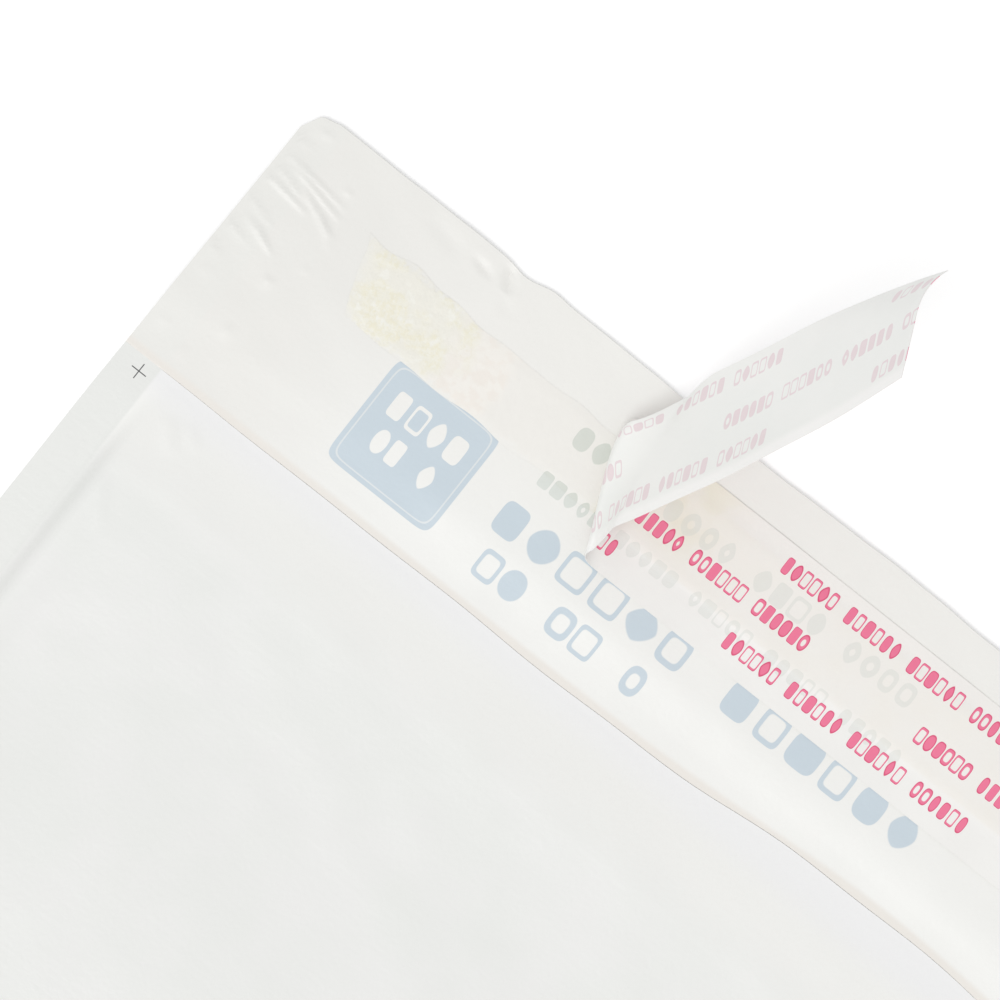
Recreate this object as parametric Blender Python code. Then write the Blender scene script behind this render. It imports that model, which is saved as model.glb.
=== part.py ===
"""Padded poly mailer, open and lying on its back, its release liner partly peeled.

X runs across the mailer, Y from the bottom fold to the flap's free edge and Z up.
The origin is the middle of the back panel's underside. All sizes are in metres.
"""

import math

import bmesh
import bpy
import numpy as np
from mathutils import Vector
from mathutils.geometry import delaunay_2d_cdt

# Outer film: front panel, bottom fold, back panel and flap in one welded web
WIDTH = 0.235
BODY_LENGTH = 0.290
FLAP_LENGTH = 0.0612
FILM = 0.00025
SEAL_WIDTH = 0.0094
FLAP_CORNER_RADIUS = 0.0065
FLAP_LIFT = 0.0007
FLAP_RISE = 0.020

# The front panel's cut edge bows towards the flap and stands a little open
MOUTH_BOW = 0.0056
MOUTH_BOW_X = 0.048
MOUTH_BOW_REACH = 0.052
LIP_HEIGHT = 0.0096
LIP_ROUNDNESS = 2.6

# Bubble lining: one folded web with its domes towards the film
LINING_HEIGHT = 0.0032
LINING_WEB = 0.0008
LINING_EDGE_HEIGHT = 0.0012
LINING_BELOW_MOUTH = 0.0228
LINING_INSIDE_SEAL = 0.0044
LINING_SIDE_TAPER = 0.008
LINING_FOLD_TAPER = 0.014
BUBBLE_PITCH = 0.016
BUBBLE_TOP_SHARE = 0.62
BUBBLE_MARGIN = 0.0015

# Pocket between the two layers of the lining
POCKET_HEIGHT = 0.0053
POCKET_EDGE_HEIGHT = 0.0008
POCKET_RISE = 0.045
POCKET_ROUNDNESS = 3.0

# Adhesive strip on the flap
ADHESIVE = 0.0002
ADHESIVE_WIDTH = 0.0165
ADHESIVE_BELOW_EDGE = 0.0135
ADHESIVE_FROM_SIDE = 0.0255
ADHESIVE_END_SLANT = 0.0056

# Release liner, stuck from the right side as far as the peel line
LINER = 0.0002
LINER_WIDTH = 0.029
LINER_BELOW_EDGE = 0.0095
LINER_FROM_SIDE = 0.0043
PEEL_X = -0.0199
PEEL_SKEW = math.radians(25.0)
PEEL_TURN = math.radians(131.0)
PEEL_RADIUS = 0.004
PEEL_TWIST = math.radians(-20.0)
PEEL_TWIST_LENGTH = 0.010
PEEL_BOW_RADIUS = 0.35
CURL_LENGTH = 0.035
CURL_HEIGHT = 0.0054

# Pieces that lie on one another keep this much air, and the draped front a little more
CLEARANCE = 0.0003
DRAPE_CLEARANCE = 0.0005

# Facets
MIDDLE_COLUMNS = 12
LIP_ROWS = 3
BODY_ROWS = 11
BODY_ROW_CROWDING = 1.3
FOLD_ROWS = 2
NOSE_STEPS = 4
FLAP_ROWS = 4
STUCK_ROWS = 3
BEND_ROWS = 8
PEELED_ROWS = 9
LINER_COLUMNS = 4
ADHESIVE_ROWS = 8
ADHESIVE_COLUMNS = 2
WELD_DISTANCE = 0.000001
SHARP_ANGLE = math.radians(30.0)

# Places worked out from the sizes above
SIDE_X = WIDTH / 2
SEAL_X = SIDE_X - SEAL_WIDTH
LINING_X = SEAL_X - LINING_INSIDE_SEAL
BOTTOM_Y = -BODY_LENGTH / 2
MOUTH_Y = BODY_LENGTH / 2
FREE_Y = MOUTH_Y + FLAP_LENGTH
LINING_TOP_Y = MOUTH_Y - LINING_BELOW_MOUTH
FOLD_RADIUS = POCKET_EDGE_HEIGHT / 2
FOLD_Y = BOTTOM_Y + FILM + CLEARANCE + LINING_WEB + FOLD_RADIUS
FOLD_Z = FILM + CLEARANCE + LINING_EDGE_HEIGHT + FOLD_RADIUS
ADHESIVE_Z = FILM + CLEARANCE
LINER_Z = ADHESIVE_Z + ADHESIVE + CLEARANCE
LINER_END_X = SIDE_X - LINER_FROM_SIDE

# Colour and roughness of each piece
LOOKS = {
    "outer_film": ((0.84, 0.84, 0.83), 0.38),
    "bubble_lining": ((0.80, 0.82, 0.83), 0.30),
    "adhesive_strip": ((0.83, 0.80, 0.64), 0.55),
    "release_liner": ((0.82, 0.79, 0.78), 0.42),
}


def ramp(distance, length):
    """Rise straight from 0 at the edge to 1 at the given length."""
    return np.clip(distance / length, 0.0, 1.0)


def smooth_ramp(distance, length):
    """Rise from 0 to 1 over the given length, level at both ends."""
    share = ramp(distance, length)
    return share * share * (3.0 - 2.0 * share)


def lining_height(x, y):
    """Height of the bubbles: full inside, crushed along the sides and the fold."""
    inside = np.minimum(
        ramp(LINING_X - np.abs(x), LINING_SIDE_TAPER),
        ramp(y - FOLD_Y, LINING_FOLD_TAPER),
    )
    return LINING_EDGE_HEIGHT + (LINING_HEIGHT - LINING_EDGE_HEIGHT) * inside


def pocket_height(x, y):
    """Air between the lining's layers, full in the middle and closed at sides and fold."""
    across = 1.0 - np.minimum(np.abs(x) / LINING_X, 1.0) ** POCKET_ROUNDNESS
    along = 1.0 - (1.0 - ramp(y - FOLD_Y, POCKET_RISE)) ** POCKET_ROUNDNESS
    return POCKET_EDGE_HEIGHT + (POCKET_HEIGHT - POCKET_EDGE_HEIGHT) * across * along


def back_lining_z(x, y):
    """Smooth upper side of the lining's back layer."""
    return FILM + CLEARANCE + lining_height(x, y)


def front_lining_z(x, y):
    """Smooth lower side of the lining's front layer."""
    return back_lining_z(x, y) + pocket_height(x, y)


def panel_z(x, y):
    """Outer side of the front panel where it lies over the lining, falling to the seals."""
    over_lining = np.clip(x, -LINING_X, LINING_X)
    height = front_lining_z(over_lining, y) + lining_height(over_lining, y)
    height = height + DRAPE_CLEARANCE + FILM
    beside = ramp(SEAL_X - np.abs(x), LINING_INSIDE_SEAL)
    return 2 * FILM + (height - 2 * FILM) * beside


def mouth_y(x):
    """Cut edge of the front panel: straight, with a bell-shaped bow to one side."""
    return MOUTH_Y + MOUTH_BOW * np.exp(-(((x - MOUTH_BOW_X) / MOUTH_BOW_REACH) ** 2))


def lip_z(x):
    """Outer side of the front panel along its cut edge, an arch between the seals."""
    arch = 1.0 - np.minimum(np.abs(x) / SEAL_X, 1.0) ** LIP_ROUNDNESS
    return 2 * FILM + (LIP_HEIGHT - 2 * FILM) * arch


def free_edge_y(x):
    """Free edge of the flap, straight with a quarter circle at each corner."""
    into_corner = np.maximum(np.abs(x) - (SIDE_X - FLAP_CORNER_RADIUS), 0.0)
    return FREE_Y - FLAP_CORNER_RADIUS + np.sqrt(
        np.maximum(FLAP_CORNER_RADIUS ** 2 - into_corner ** 2, 0.0)
    )


def flap_z(y):
    """Underside of the flap, rising past the bowed mouth and then level to the free edge."""
    return FLAP_LIFT * smooth_ramp(y - MOUTH_Y - MOUTH_BOW, FLAP_RISE)


def film_columns():
    """Places across the film: corner arcs, seals, lining sides and even steps between."""
    half = [
        SIDE_X,
        SIDE_X - FLAP_CORNER_RADIUS * (1.0 - math.sin(math.radians(45.0))),
        SIDE_X - FLAP_CORNER_RADIUS,
        SEAL_X,
        LINING_X,
    ]
    middle = np.linspace(
        -(LINING_X - LINING_SIDE_TAPER), LINING_X - LINING_SIDE_TAPER, MIDDLE_COLUMNS + 1
    )
    return np.array([-x for x in half] + list(middle) + half[::-1])


def body_rows():
    """Places along the body from the fold to the lining's top edge, closer near the fold."""
    start = FOLD_Y + LINING_FOLD_TAPER
    near_fold = np.linspace(FOLD_Y, start, FOLD_ROWS + 1)
    steps = (np.arange(1, BODY_ROWS + 1) / BODY_ROWS) ** BODY_ROW_CROWDING
    return np.concatenate([near_fold, start + (LINING_TOP_Y - start) * steps])


def panel_rows(columns):
    """Grid of Y from the fold to the mouth, one row of the array for each step."""
    rows = [np.full_like(columns, y) for y in body_rows()]
    for step in range(1, LIP_ROWS + 1):
        share = step / LIP_ROWS
        rows.append(LINING_TOP_Y + (mouth_y(columns) - LINING_TOP_Y) * share)
    return np.array(rows)


def front_outer_z(x, y):
    """Front panel's outer side, over the lining and then down the lip to its cut edge."""
    share = (y - LINING_TOP_Y) / (mouth_y(x) - LINING_TOP_Y)
    share = np.clip(share, 0.0, 1.0)
    at_lining = panel_z(x, np.minimum(y, LINING_TOP_Y))
    return at_lining * (1.0 - share) + lip_z(x) * share


def stack(x, y, z):
    """Points of a grid patch from arrays of the same shape."""
    x, y, z = np.broadcast_arrays(x, y, z)
    return np.stack([x, y, z], axis=-1)


def nose_patch(columns, inset):
    """Half-round bottom fold between back and front, lying an inset inside the film."""
    centre_z = panel_z(columns, FOLD_Y) / 2
    radius = centre_z - inset
    angles = np.linspace(-math.pi / 2, math.pi / 2, NOSE_STEPS + 1)[:, None]
    y = BOTTOM_Y + centre_z - radius * np.cos(angles)
    z = centre_z + radius * np.sin(angles)
    return stack(columns[None, :], y, z)


def strip_between(first, second):
    """Two-row patch that joins two lines of points."""
    return np.array([first, second])


def outer_film_patches():
    """All sides of the film: outside, pocket side, flap, lip and side edges."""
    every = film_columns()
    between_seals = np.abs(every) <= SEAL_X + WELD_DISTANCE
    inner = every[between_seals]
    nose_out = nose_patch(every, 0.0)
    nose_in = nose_patch(inner, FILM)

    y = panel_rows(every)
    front_out = stack(every, y, front_outer_z(every, y))
    back_out = stack(every, y, 0.0)
    y = panel_rows(inner)
    front_in = stack(inner, y, front_outer_z(inner, y) - FILM)
    back_in = stack(inner, y, FILM)
    front_out[0] = nose_out[-1]
    back_out[0] = nose_out[0]
    front_in[0] = nose_in[-1]
    back_in[0] = nose_in[0]

    share = np.linspace(0.0, 1.0, FLAP_ROWS + 1)[:, None]
    y = mouth_y(every) + (free_edge_y(every) - mouth_y(every)) * share
    flap_under = stack(every, y, flap_z(y))
    flap_top = flap_under + np.array([0.0, 0.0, FILM])

    lip_foot = flap_top[0].copy()
    lip_foot[between_seals] = front_in[-1]
    patches = [nose_out, nose_in, front_out, back_out, front_in, back_in, flap_under, flap_top]
    patches.append(strip_between(front_out[-1], lip_foot))
    patches.append(strip_between(flap_under[-1], flap_top[-1]))
    for side in (0, -1):
        middle = (front_out[:, side] + back_out[:, side]) / 2
        patches.append(np.array([front_out[:, side], middle, back_out[:, side]]))
        patches.append(strip_between(flap_under[:, side], flap_top[:, side]))
    return patches


def fold_end_caps():
    """Flat ends of the bottom fold at the two side edges, closed through the weld line."""
    nose = nose_patch(film_columns(), 0.0)
    caps = []
    for side in (0, -1):
        weld_line = (nose[0, side] + nose[-1, side]) / 2
        caps.append(list(nose[:, side]) + [weld_line])
    return caps


def hexagon(centre_x, centre_y, radius):
    """Corners of a hexagon with one corner towards +Y."""
    turns = [math.pi / 3 * corner for corner in range(6)]
    return [(centre_x + radius * math.sin(t), centre_y + radius * math.cos(t)) for t in turns]


def bubble_centres():
    """Staggered rows of bubbles that fit whole inside one layer of the lining."""
    base_radius = BUBBLE_PITCH / math.sqrt(3)
    row_step = BUBBLE_PITCH * math.sqrt(3) / 2
    free_length = LINING_TOP_Y - FOLD_Y - 2 * (BUBBLE_MARGIN + base_radius)
    rows = int(free_length / row_step) + 1
    per_row = int((2 * (LINING_X - BUBBLE_MARGIN) - BUBBLE_PITCH) / BUBBLE_PITCH) + 1
    middle_y = (LINING_TOP_Y + FOLD_Y) / 2
    centres = []
    for row in range(rows):
        count = per_row - row % 2
        y = middle_y + (row - (rows - 1) / 2) * row_step
        for place in range(count):
            centres.append(((place - (count - 1) / 2) * BUBBLE_PITCH, y))
    return centres


class Drawing:
    """Points and lines in the plane of one lining layer, with shared points kept once."""

    def __init__(self):
        self.points = []
        self.is_top = []
        self.lines = []
        self.known = {}

    def point(self, place, is_top):
        key = (round(place[0] / WELD_DISTANCE), round(place[1] / WELD_DISTANCE))
        if key not in self.known:
            self.known[key] = len(self.points)
            self.points.append(place)
            self.is_top.append(is_top)
        return self.known[key]

    def ring(self, places, is_top):
        numbers = [self.point(place, is_top) for place in places]
        self.lines += list(zip(numbers, numbers[1:] + numbers[:1]))


def lining_columns():
    """Places across the lining, those of the film over it."""
    columns = film_columns()
    return columns[np.abs(columns) <= LINING_X + WELD_DISTANCE]


def bubble_layer():
    """Triangles of one layer's bubbled side as plane points, with which points are tops."""
    drawing = Drawing()
    columns = lining_columns()
    rows = body_rows()
    border = [(x, rows[0]) for x in columns]
    border += [(columns[-1], y) for y in rows[1:]]
    border += [(x, rows[-1]) for x in columns[-2::-1]]
    border += [(columns[0], y) for y in rows[-2:0:-1]]
    drawing.ring(border, False)
    base_radius = BUBBLE_PITCH / math.sqrt(3)
    for x, y in bubble_centres():
        drawing.ring(hexagon(x, y, base_radius), False)
        drawing.ring(hexagon(x, y, base_radius * BUBBLE_TOP_SHARE), True)
    flat = [Vector(place) for place in drawing.points]
    found = delaunay_2d_cdt(flat, drawing.lines, [], 0, WELD_DISTANCE)
    sources = [found[3][number][0] for number in range(len(found[0]))]
    plane = np.array([drawing.points[source] for source in sources])
    tops = np.array([drawing.is_top[source] for source in sources])
    return plane, tops, found[2]


def lining_patches():
    """Smooth sides, fold and cut edges of the lining."""
    columns = lining_columns()
    rows = body_rows()[:, None]
    smooth = {
        "front": stack(columns, rows, front_lining_z(columns, rows)),
        "back": stack(columns, rows, back_lining_z(columns, rows)),
    }
    web = {"front": np.array([0, 0, LINING_WEB]), "back": np.array([0, 0, -LINING_WEB])}
    angles = np.linspace(-math.pi / 2, math.pi / 2, NOSE_STEPS + 1)[:, None]
    folds = [
        stack(columns, FOLD_Y - radius * np.cos(angles), FOLD_Z + radius * np.sin(angles))
        for radius in (FOLD_RADIUS, FOLD_RADIUS + LINING_WEB)
    ]
    patches = [smooth["front"], smooth["back"], folds[0], folds[1]]
    for layer, surface in smooth.items():
        patches.append(strip_between(surface[-1], surface[-1] + web[layer]))
        for side in (0, -1):
            patches.append(strip_between(surface[:, side], surface[:, side] + web[layer]))
    for side in (0, -1):
        patches.append(strip_between(folds[0][:, side], folds[1][:, side]))
    return patches


def bubbled_sides():
    """Bubbled side of each layer as points and triangles in space."""
    plane, tops, triangles = bubble_layer()
    x = plane[:, 0]
    y = plane[:, 1]
    height = np.where(tops, lining_height(x, y), LINING_WEB)
    front = stack(x, y, front_lining_z(x, y) + height)
    back = stack(x, y, back_lining_z(x, y) - height)
    return [(front, triangles), (back, triangles)]


def closed_sheet(under, top):
    """Six patches of a thin sheet from its lower and upper grids."""
    patches = [under, top]
    for side in (0, -1):
        patches.append(strip_between(under[side], top[side]))
        patches.append(strip_between(under[:, side], top[:, side]))
    return patches


def adhesive_patches():
    """Strip on the flap with slanted ends."""
    y = FREE_Y - ADHESIVE_BELOW_EDGE - np.linspace(0.0, ADHESIVE_WIDTH, ADHESIVE_COLUMNS + 1)
    slant = ADHESIVE_END_SLANT * np.linspace(0.0, 1.0, ADHESIVE_COLUMNS + 1)
    half = SIDE_X - ADHESIVE_FROM_SIDE - slant
    share = np.linspace(-1.0, 1.0, ADHESIVE_ROWS + 1)[:, None]
    under = stack(half * share, y, flap_z(y) + ADHESIVE_Z)
    return closed_sheet(under, under + np.array([0.0, 0.0, ADHESIVE]))


def turned(vectors, axis, angle):
    """Vectors turned about a unit axis by an angle for each of them."""
    cosine = np.cos(angle)[..., None]
    sine = np.sin(angle)[..., None]
    along = (vectors @ axis)[..., None] * axis
    return vectors * cosine + np.cross(axis, vectors) * sine + along * (1.0 - cosine)


def peeled_direction():
    """Way the liner runs once it has turned up at the slanted peel line."""
    fold = np.array([-math.sin(PEEL_SKEW), math.cos(PEEL_SKEW), 0.0])
    away = np.array([-math.cos(PEEL_SKEW), -math.sin(PEEL_SKEW), 0.0])
    raised = math.cos(PEEL_TURN) * away + math.sin(PEEL_TURN) * np.array([0.0, 0.0, 1.0])
    return fold, away, math.sin(PEEL_SKEW) * fold + math.cos(PEEL_SKEW) * raised


def liner_surface(x, y):
    """Underside points and upward normals of the liner for flat places on the flap.

    The strip is flat up to a slanted line, rolls up about that line by a fixed angle,
    twists about its own middle and bows back on a wide arc, and its far corner curls
    towards the printed side.
    """
    fold, away, run = peeled_direction()
    up = np.array([0.0, 0.0, 1.0])
    middle = np.array([PEEL_X, FREE_Y - LINER_BELOW_EDGE - LINER_WIDTH / 2, 0.0])
    flat = stack(x, y, 0.0) - middle
    along = (flat @ fold)[..., None]
    past = flat @ away
    turn = np.clip(past / PEEL_RADIUS, 0.0, PEEL_TURN)
    straight = np.maximum(past - PEEL_RADIUS * PEEL_TURN, 0.0)
    before = np.minimum(past, 0.0)
    cosine = np.cos(turn)[..., None]
    sine = np.sin(turn)[..., None]
    tangent = cosine * away + sine * up
    normal = cosine * up - sine * away
    point = along * fold + before[..., None] * away
    point += PEEL_RADIUS * sine * away + PEEL_RADIUS * (1.0 - cosine) * up
    point += straight[..., None] * tangent

    hinge = PEEL_RADIUS * (
        PEEL_TURN * math.tan(PEEL_SKEW) * fold
        + math.sin(PEEL_TURN) * away
        + (1.0 - math.cos(PEEL_TURN)) * up
    )
    twist = PEEL_TWIST * ramp(straight, PEEL_TWIST_LENGTH)
    point = turned(point - hinge, run, twist) + hinge
    normal = turned(normal, run, twist)

    from_end = x + LINER_END_X
    across = (y - middle[1]) / (LINER_WIDTH / 2)
    curl = np.maximum(across - from_end / CURL_LENGTH, 0.0) ** 2
    bow = straight ** 2 / (2 * PEEL_BOW_RADIUS)
    point += (CURL_HEIGHT * curl - bow)[..., None] * normal
    return point + middle + stack(0.0, 0.0, flap_z(y) + LINER_Z), normal


def liner_patches():
    """Whole liner: stuck stretch, rolled peel line and the standing free end."""
    half = LINER_WIDTH / 2
    across = np.linspace(-half, half, LINER_COLUMNS + 1)
    y = FREE_Y - LINER_BELOW_EDGE - half + across
    start = PEEL_X - math.tan(PEEL_SKEW) * across
    finish = start - PEEL_RADIUS * PEEL_TURN / math.cos(PEEL_SKEW)
    stuck = np.arange(STUCK_ROWS)[:, None] / STUCK_ROWS
    bent = np.arange(BEND_ROWS)[:, None] / BEND_ROWS
    free = np.arange(PEELED_ROWS + 1)[:, None] / PEELED_ROWS
    rows = [
        LINER_END_X + (start - LINER_END_X) * stuck,
        start + (finish - start) * bent,
        finish + (-LINER_END_X - finish) * free,
    ]
    x = np.concatenate(rows)
    y = np.broadcast_to(y, x.shape)
    under, normal = liner_surface(x, y)
    return closed_sheet(under, under + LINER * normal)


def plain_material(name):
    """Principled material in the piece's own colour."""
    colour, roughness = LOOKS[name]
    material = bpy.data.materials.new(name)
    material.use_nodes = True
    shader = material.node_tree.nodes["Principled BSDF"]
    shader.inputs["Base Color"].default_value = (*colour, 1.0)
    shader.inputs["Roughness"].default_value = roughness
    shader.inputs["Metallic"].default_value = 0.0
    return material


def add_patch(mesh, grid):
    """Quads of a grid of points."""
    rows, columns = grid.shape[:2]
    corners = [[mesh.verts.new(grid[i, j]) for j in range(columns)] for i in range(rows)]
    for i in range(rows - 1):
        for j in range(columns - 1):
            below = corners[i]
            above = corners[i + 1]
            mesh.faces.new((below[j], below[j + 1], above[j + 1], above[j]))


def add_triangles(mesh, points, triangles):
    """Faces between numbered points."""
    corners = [mesh.verts.new(point) for point in points]
    for triangle in triangles:
        mesh.faces.new([corners[number] for number in triangle])


def build_piece(name, patches, faceted=(), caps=()):
    """Weld all patches of a piece into one closed body and place it in the scene."""
    mesh = bmesh.new()
    for grid in patches:
        add_patch(mesh, grid)
    for points, triangles in faceted:
        add_triangles(mesh, points, triangles)
    for cap in caps:
        mesh.faces.new([mesh.verts.new(point) for point in cap])
    bmesh.ops.remove_doubles(mesh, verts=mesh.verts, dist=WELD_DISTANCE)
    bmesh.ops.triangulate(mesh, faces=mesh.faces)
    bmesh.ops.recalc_face_normals(mesh, faces=mesh.faces)
    data = bpy.data.meshes.new(name)
    mesh.to_mesh(data)
    mesh.free()
    data.shade_smooth()
    data.set_sharp_from_angle(angle=SHARP_ANGLE)
    piece = bpy.data.objects.new(name, data)
    data.materials.append(plain_material(name))
    bpy.context.scene.collection.objects.link(piece)
    return piece


def main():
    for thing in list(bpy.data.objects):
        bpy.data.objects.remove(thing, do_unlink=True)
    build_piece("outer_film", outer_film_patches(), caps=fold_end_caps())
    build_piece("bubble_lining", lining_patches(), faceted=bubbled_sides())
    build_piece("adhesive_strip", adhesive_patches())
    build_piece("release_liner", liner_patches())


main()
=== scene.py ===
"""Padded poly mailer, open on its back with its release liner peeled back: looks, light and camera.

X runs across the mailer, Y from the bottom fold to the flap's free edge and Z up, in metres.
Each piece is a few grids of points worked out from the formulas below and welded into one
closed body. The print is rows of plain shapes drawn by node groups.
"""

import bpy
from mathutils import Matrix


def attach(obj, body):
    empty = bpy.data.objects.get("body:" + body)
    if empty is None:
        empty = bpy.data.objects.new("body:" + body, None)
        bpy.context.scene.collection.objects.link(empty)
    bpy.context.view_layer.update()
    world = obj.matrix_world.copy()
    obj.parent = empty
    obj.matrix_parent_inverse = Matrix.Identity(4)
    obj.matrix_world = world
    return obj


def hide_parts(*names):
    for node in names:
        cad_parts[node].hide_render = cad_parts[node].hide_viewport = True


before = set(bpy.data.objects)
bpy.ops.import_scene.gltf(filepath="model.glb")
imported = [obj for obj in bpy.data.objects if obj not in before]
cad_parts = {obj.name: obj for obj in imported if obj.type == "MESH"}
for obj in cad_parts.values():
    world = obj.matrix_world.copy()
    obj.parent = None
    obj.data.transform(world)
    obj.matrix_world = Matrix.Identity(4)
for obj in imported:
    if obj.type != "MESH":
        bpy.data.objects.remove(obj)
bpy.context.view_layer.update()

import math

import bmesh
import bpy
import numpy as np

MM = 0.001

# Outer film
SIDE_X = 117.5 * MM
SEAL_X = 108.1 * MM
LINING_X = 103.7 * MM
BOTTOM_Y = -145.0 * MM
MOUTH_Y = 145.0 * MM
FREE_Y = 206.2 * MM
LINING_TOP_Y = 122.2 * MM
FILM = 0.25 * MM
CORNER_RADIUS = 6.5 * MM
CORNER_INTO = (0.0, 4.4, 6.5)
CORNER_DROP = (0.0, 0.95, 5.2)
FLAP_LIFT = 0.7 * MM
FLAP_RISE = 20.0 * MM
FLAP_NARROWING = 0.0085
EDGE_LEAN = 0.12 * MM
MOUTH_BOW = 3.6 * MM
MOUTH_BOW_X = 75.0 * MM
MOUTH_BOW_REACH = 42.0 * MM
CUT_THINNING = 0.15 * MM
CUT_GROOVE = 0.09 * MM
LIP_HEIGHT = 0.75 * MM
LIP_LOW_SHARE = 0.48
LIP_OPEN_REACH = 42.0 * MM
LIP_ROUNDNESS = 2.6
LIP_WAVE = 0.25 * MM
LIP_WAVE_LENGTH = 38 * MM
FUSED_REACH = 0.8 * MM
FUSED_LENGTH = 9 * MM
FUSED_SHARE = 0.9

# Broad swell of the front panel, and the step in it over the lining's top edge
SWELL = 0.16 * MM
SWELL_LENGTH = 46 * MM
RIPPLE = 0.07 * MM
RIPPLE_LENGTH = 17 * MM
SWELL_FROM_SEAL = 14 * MM
SWELL_FROM_FOLD = 30 * MM
TOP_STEP = 0.16 * MM
TOP_STEP_Y = LINING_TOP_Y + 1.2 * MM
TOP_STEP_REACH = 2.2 * MM
TOP_STEP_FADE_X = -92 * MM
TOP_STEP_FADE = 40 * MM

# Ridge beside the mouth and swell of the flap
RIDGE = 0.55 * MM
RIDGE_Y = FREE_Y - 47.5 * MM
RIDGE_REACH = 5.5 * MM
RIDGE_LEFT_SHARE = 0.45
RIDGE_FULL_FROM_X = -70 * MM
RIDGE_FULL_LENGTH = 60 * MM
FLAP_SWELL = 0.10 * MM
FLAP_SWELL_LENGTH = 34 * MM
FLAP_RIPPLE = 0.03 * MM
FLAP_RIPPLE_LENGTH = 11 * MM

# Bubble lining and the pocket between its two layers
LINING_HEIGHT = 3.2 * MM
LINING_WEB = 0.8 * MM
LINING_EDGE_HEIGHT = 1.2 * MM
LINING_SIDE_TAPER = 8.0 * MM
LINING_FOLD_TAPER = 14.0 * MM
POCKET_HEIGHT = 5.3 * MM
POCKET_EDGE_HEIGHT = 0.8 * MM
POCKET_RISE = 45.0 * MM
POCKET_ROUNDNESS = 3.0
SLACK_START_Y = 10.0 * MM
SLACK_SHARE = 0.92
BUBBLE_PITCH = 12.5 * MM
BUBBLE_RADIUS = 5.3 * MM
BUBBLE_MARGIN = 1.0 * MM
CLEARANCE = 0.3 * MM
DRAPE_CLEARANCE = 0.5 * MM
FOLD_RADIUS = POCKET_EDGE_HEIGHT / 2
FOLD_Y = BOTTOM_Y + FILM + CLEARANCE + LINING_WEB + FOLD_RADIUS
FOLD_Z = FILM + CLEARANCE + LINING_EDGE_HEIGHT + FOLD_RADIUS

# Adhesive band and release liner
ADHESIVE = 0.14 * MM
ADHESIVE_RIM = 0.02 * MM
ADHESIVE_Z = FILM + 0.04 * MM
ADHESIVE_WIDTH = 16.5 * MM
ADHESIVE_BELOW_EDGE = 13.5 * MM
ADHESIVE_FROM_SIDE = 25.5 * MM
ADHESIVE_END_SLANT = 5.6 * MM
ADHESIVE_LEAN = ADHESIVE_END_SLANT / ADHESIVE_WIDTH
LINER = 0.12 * MM
LINER_Z = ADHESIVE_Z + ADHESIVE + 0.12 * MM
LINER_DROP = 0.26 * MM
LINER_WIDTH = 29.0 * MM
LINER_MIDDLE_Y = FREE_Y - 9.5 * MM - LINER_WIDTH / 2
LINER_END_X = SIDE_X - 4.3 * MM
PEEL_X = -19.9 * MM
PEEL_SKEW = math.radians(25.0)
PEEL_TURN = math.radians(131.0)
PEEL_RADIUS = 4.0 * MM
PEEL_TWIST = math.radians(-20.0)
PEEL_TWIST_LENGTH = 10.0 * MM
PEEL_BOW_RADIUS = 350.0 * MM
PINCH_ALONG = 5.2 * MM
PINCH_BACK = 1.7 * MM
CURL_LENGTH = 35.0 * MM
CURL_HEIGHT = 5.4 * MM

# Creases and dents: x and y of both ends, half width and height, in millimetres
SEAL_CREASES = (
    (-117.2, 189.4, -105.1, 187.6, 0.55, 0.42),
    (-116.9, 195.3, -99.1, 193.1, 0.50, 0.34),
    (-113.1, 193.8, -98.6, 190.6, 0.55, 0.40),
    (-109.8, 191.8, -97.7, 186.6, 0.60, 0.46),
    (-116.6, 192.4, -107.0, 189.2, 0.50, 0.34),
    (-104.0, 190.6, -97.0, 184.6, 0.60, 0.24),
    (-114.6, 180.6, -105.3, 176.6, 0.50, 0.36),
    (-117.4, 178.1, -112.0, 175.2, 0.45, 0.32),
    (-111.8, 180.2, -107.0, 177.4, 0.45, 0.26),
    (-117.3, 184.2, -109.6, 181.2, 0.50, 0.28),
    (-117.4, 172.4, -113.4, 169.6, 0.50, 0.26),
    (-117.4, 199.6, -112.4, 198.2, 0.50, 0.20),
)
EDGE_DENTS = (
    (-72.8, 202.4, -68.6, 200.6, 0.8, -0.62),
    (-66.2, 205.4, -63.7, 200.4, 0.8, -0.95),
    (-64.0, 200.0, -60.4, 196.4, 1.3, -0.22),
    (-86.0, 203.0, -75.0, 200.8, 1.8, -0.22),
)
FRONT_CREASES = (
    (-103.6, 121.6, -98.0, 112.0, 1.4, 0.34),
    (-101.0, 138.6, -95.6, 132.4, 1.6, 0.36),
    (-96.6, 140.0, -92.6, 136.0, 1.2, 0.26),
    (-92.0, 62.0, -80.0, 36.0, 2.4, 0.30),
    (-84.0, 60.0, -76.0, 40.0, 1.8, 0.20),
    (96.0, 100.0, 104.0, 60.0, 2.2, 0.30),
    (88.0, 40.0, 101.0, 10.0, 2.6, 0.34),
)

# Pimples of the weld: x, y, radius and height, in millimetres
PIMPLES = (
    (-112.0, 202.8, 0.8, 0.40),
    (-101.5, 196.3, 0.7, 0.32),
    (-102.8, 172.3, 0.9, 0.38),
    (-102.9, 159.3, 0.9, 0.34),
    (-114.1, 166.4, 0.7, 0.26),
    (-114.1, 153.0, 0.7, 0.26),
    (-107.6, 150.2, 0.8, 0.20),
    (-98.4, 178.6, 0.7, 0.16),
)

# Wander of the free edge: x, reach and depth, in millimetres
EDGE_WANDER = ((-62.5, 3.6, -0.95), (-55.5, 3.0, 0.45), (-3.0, 22.0, -0.70), (58.0, 14.0, -0.60))

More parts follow.
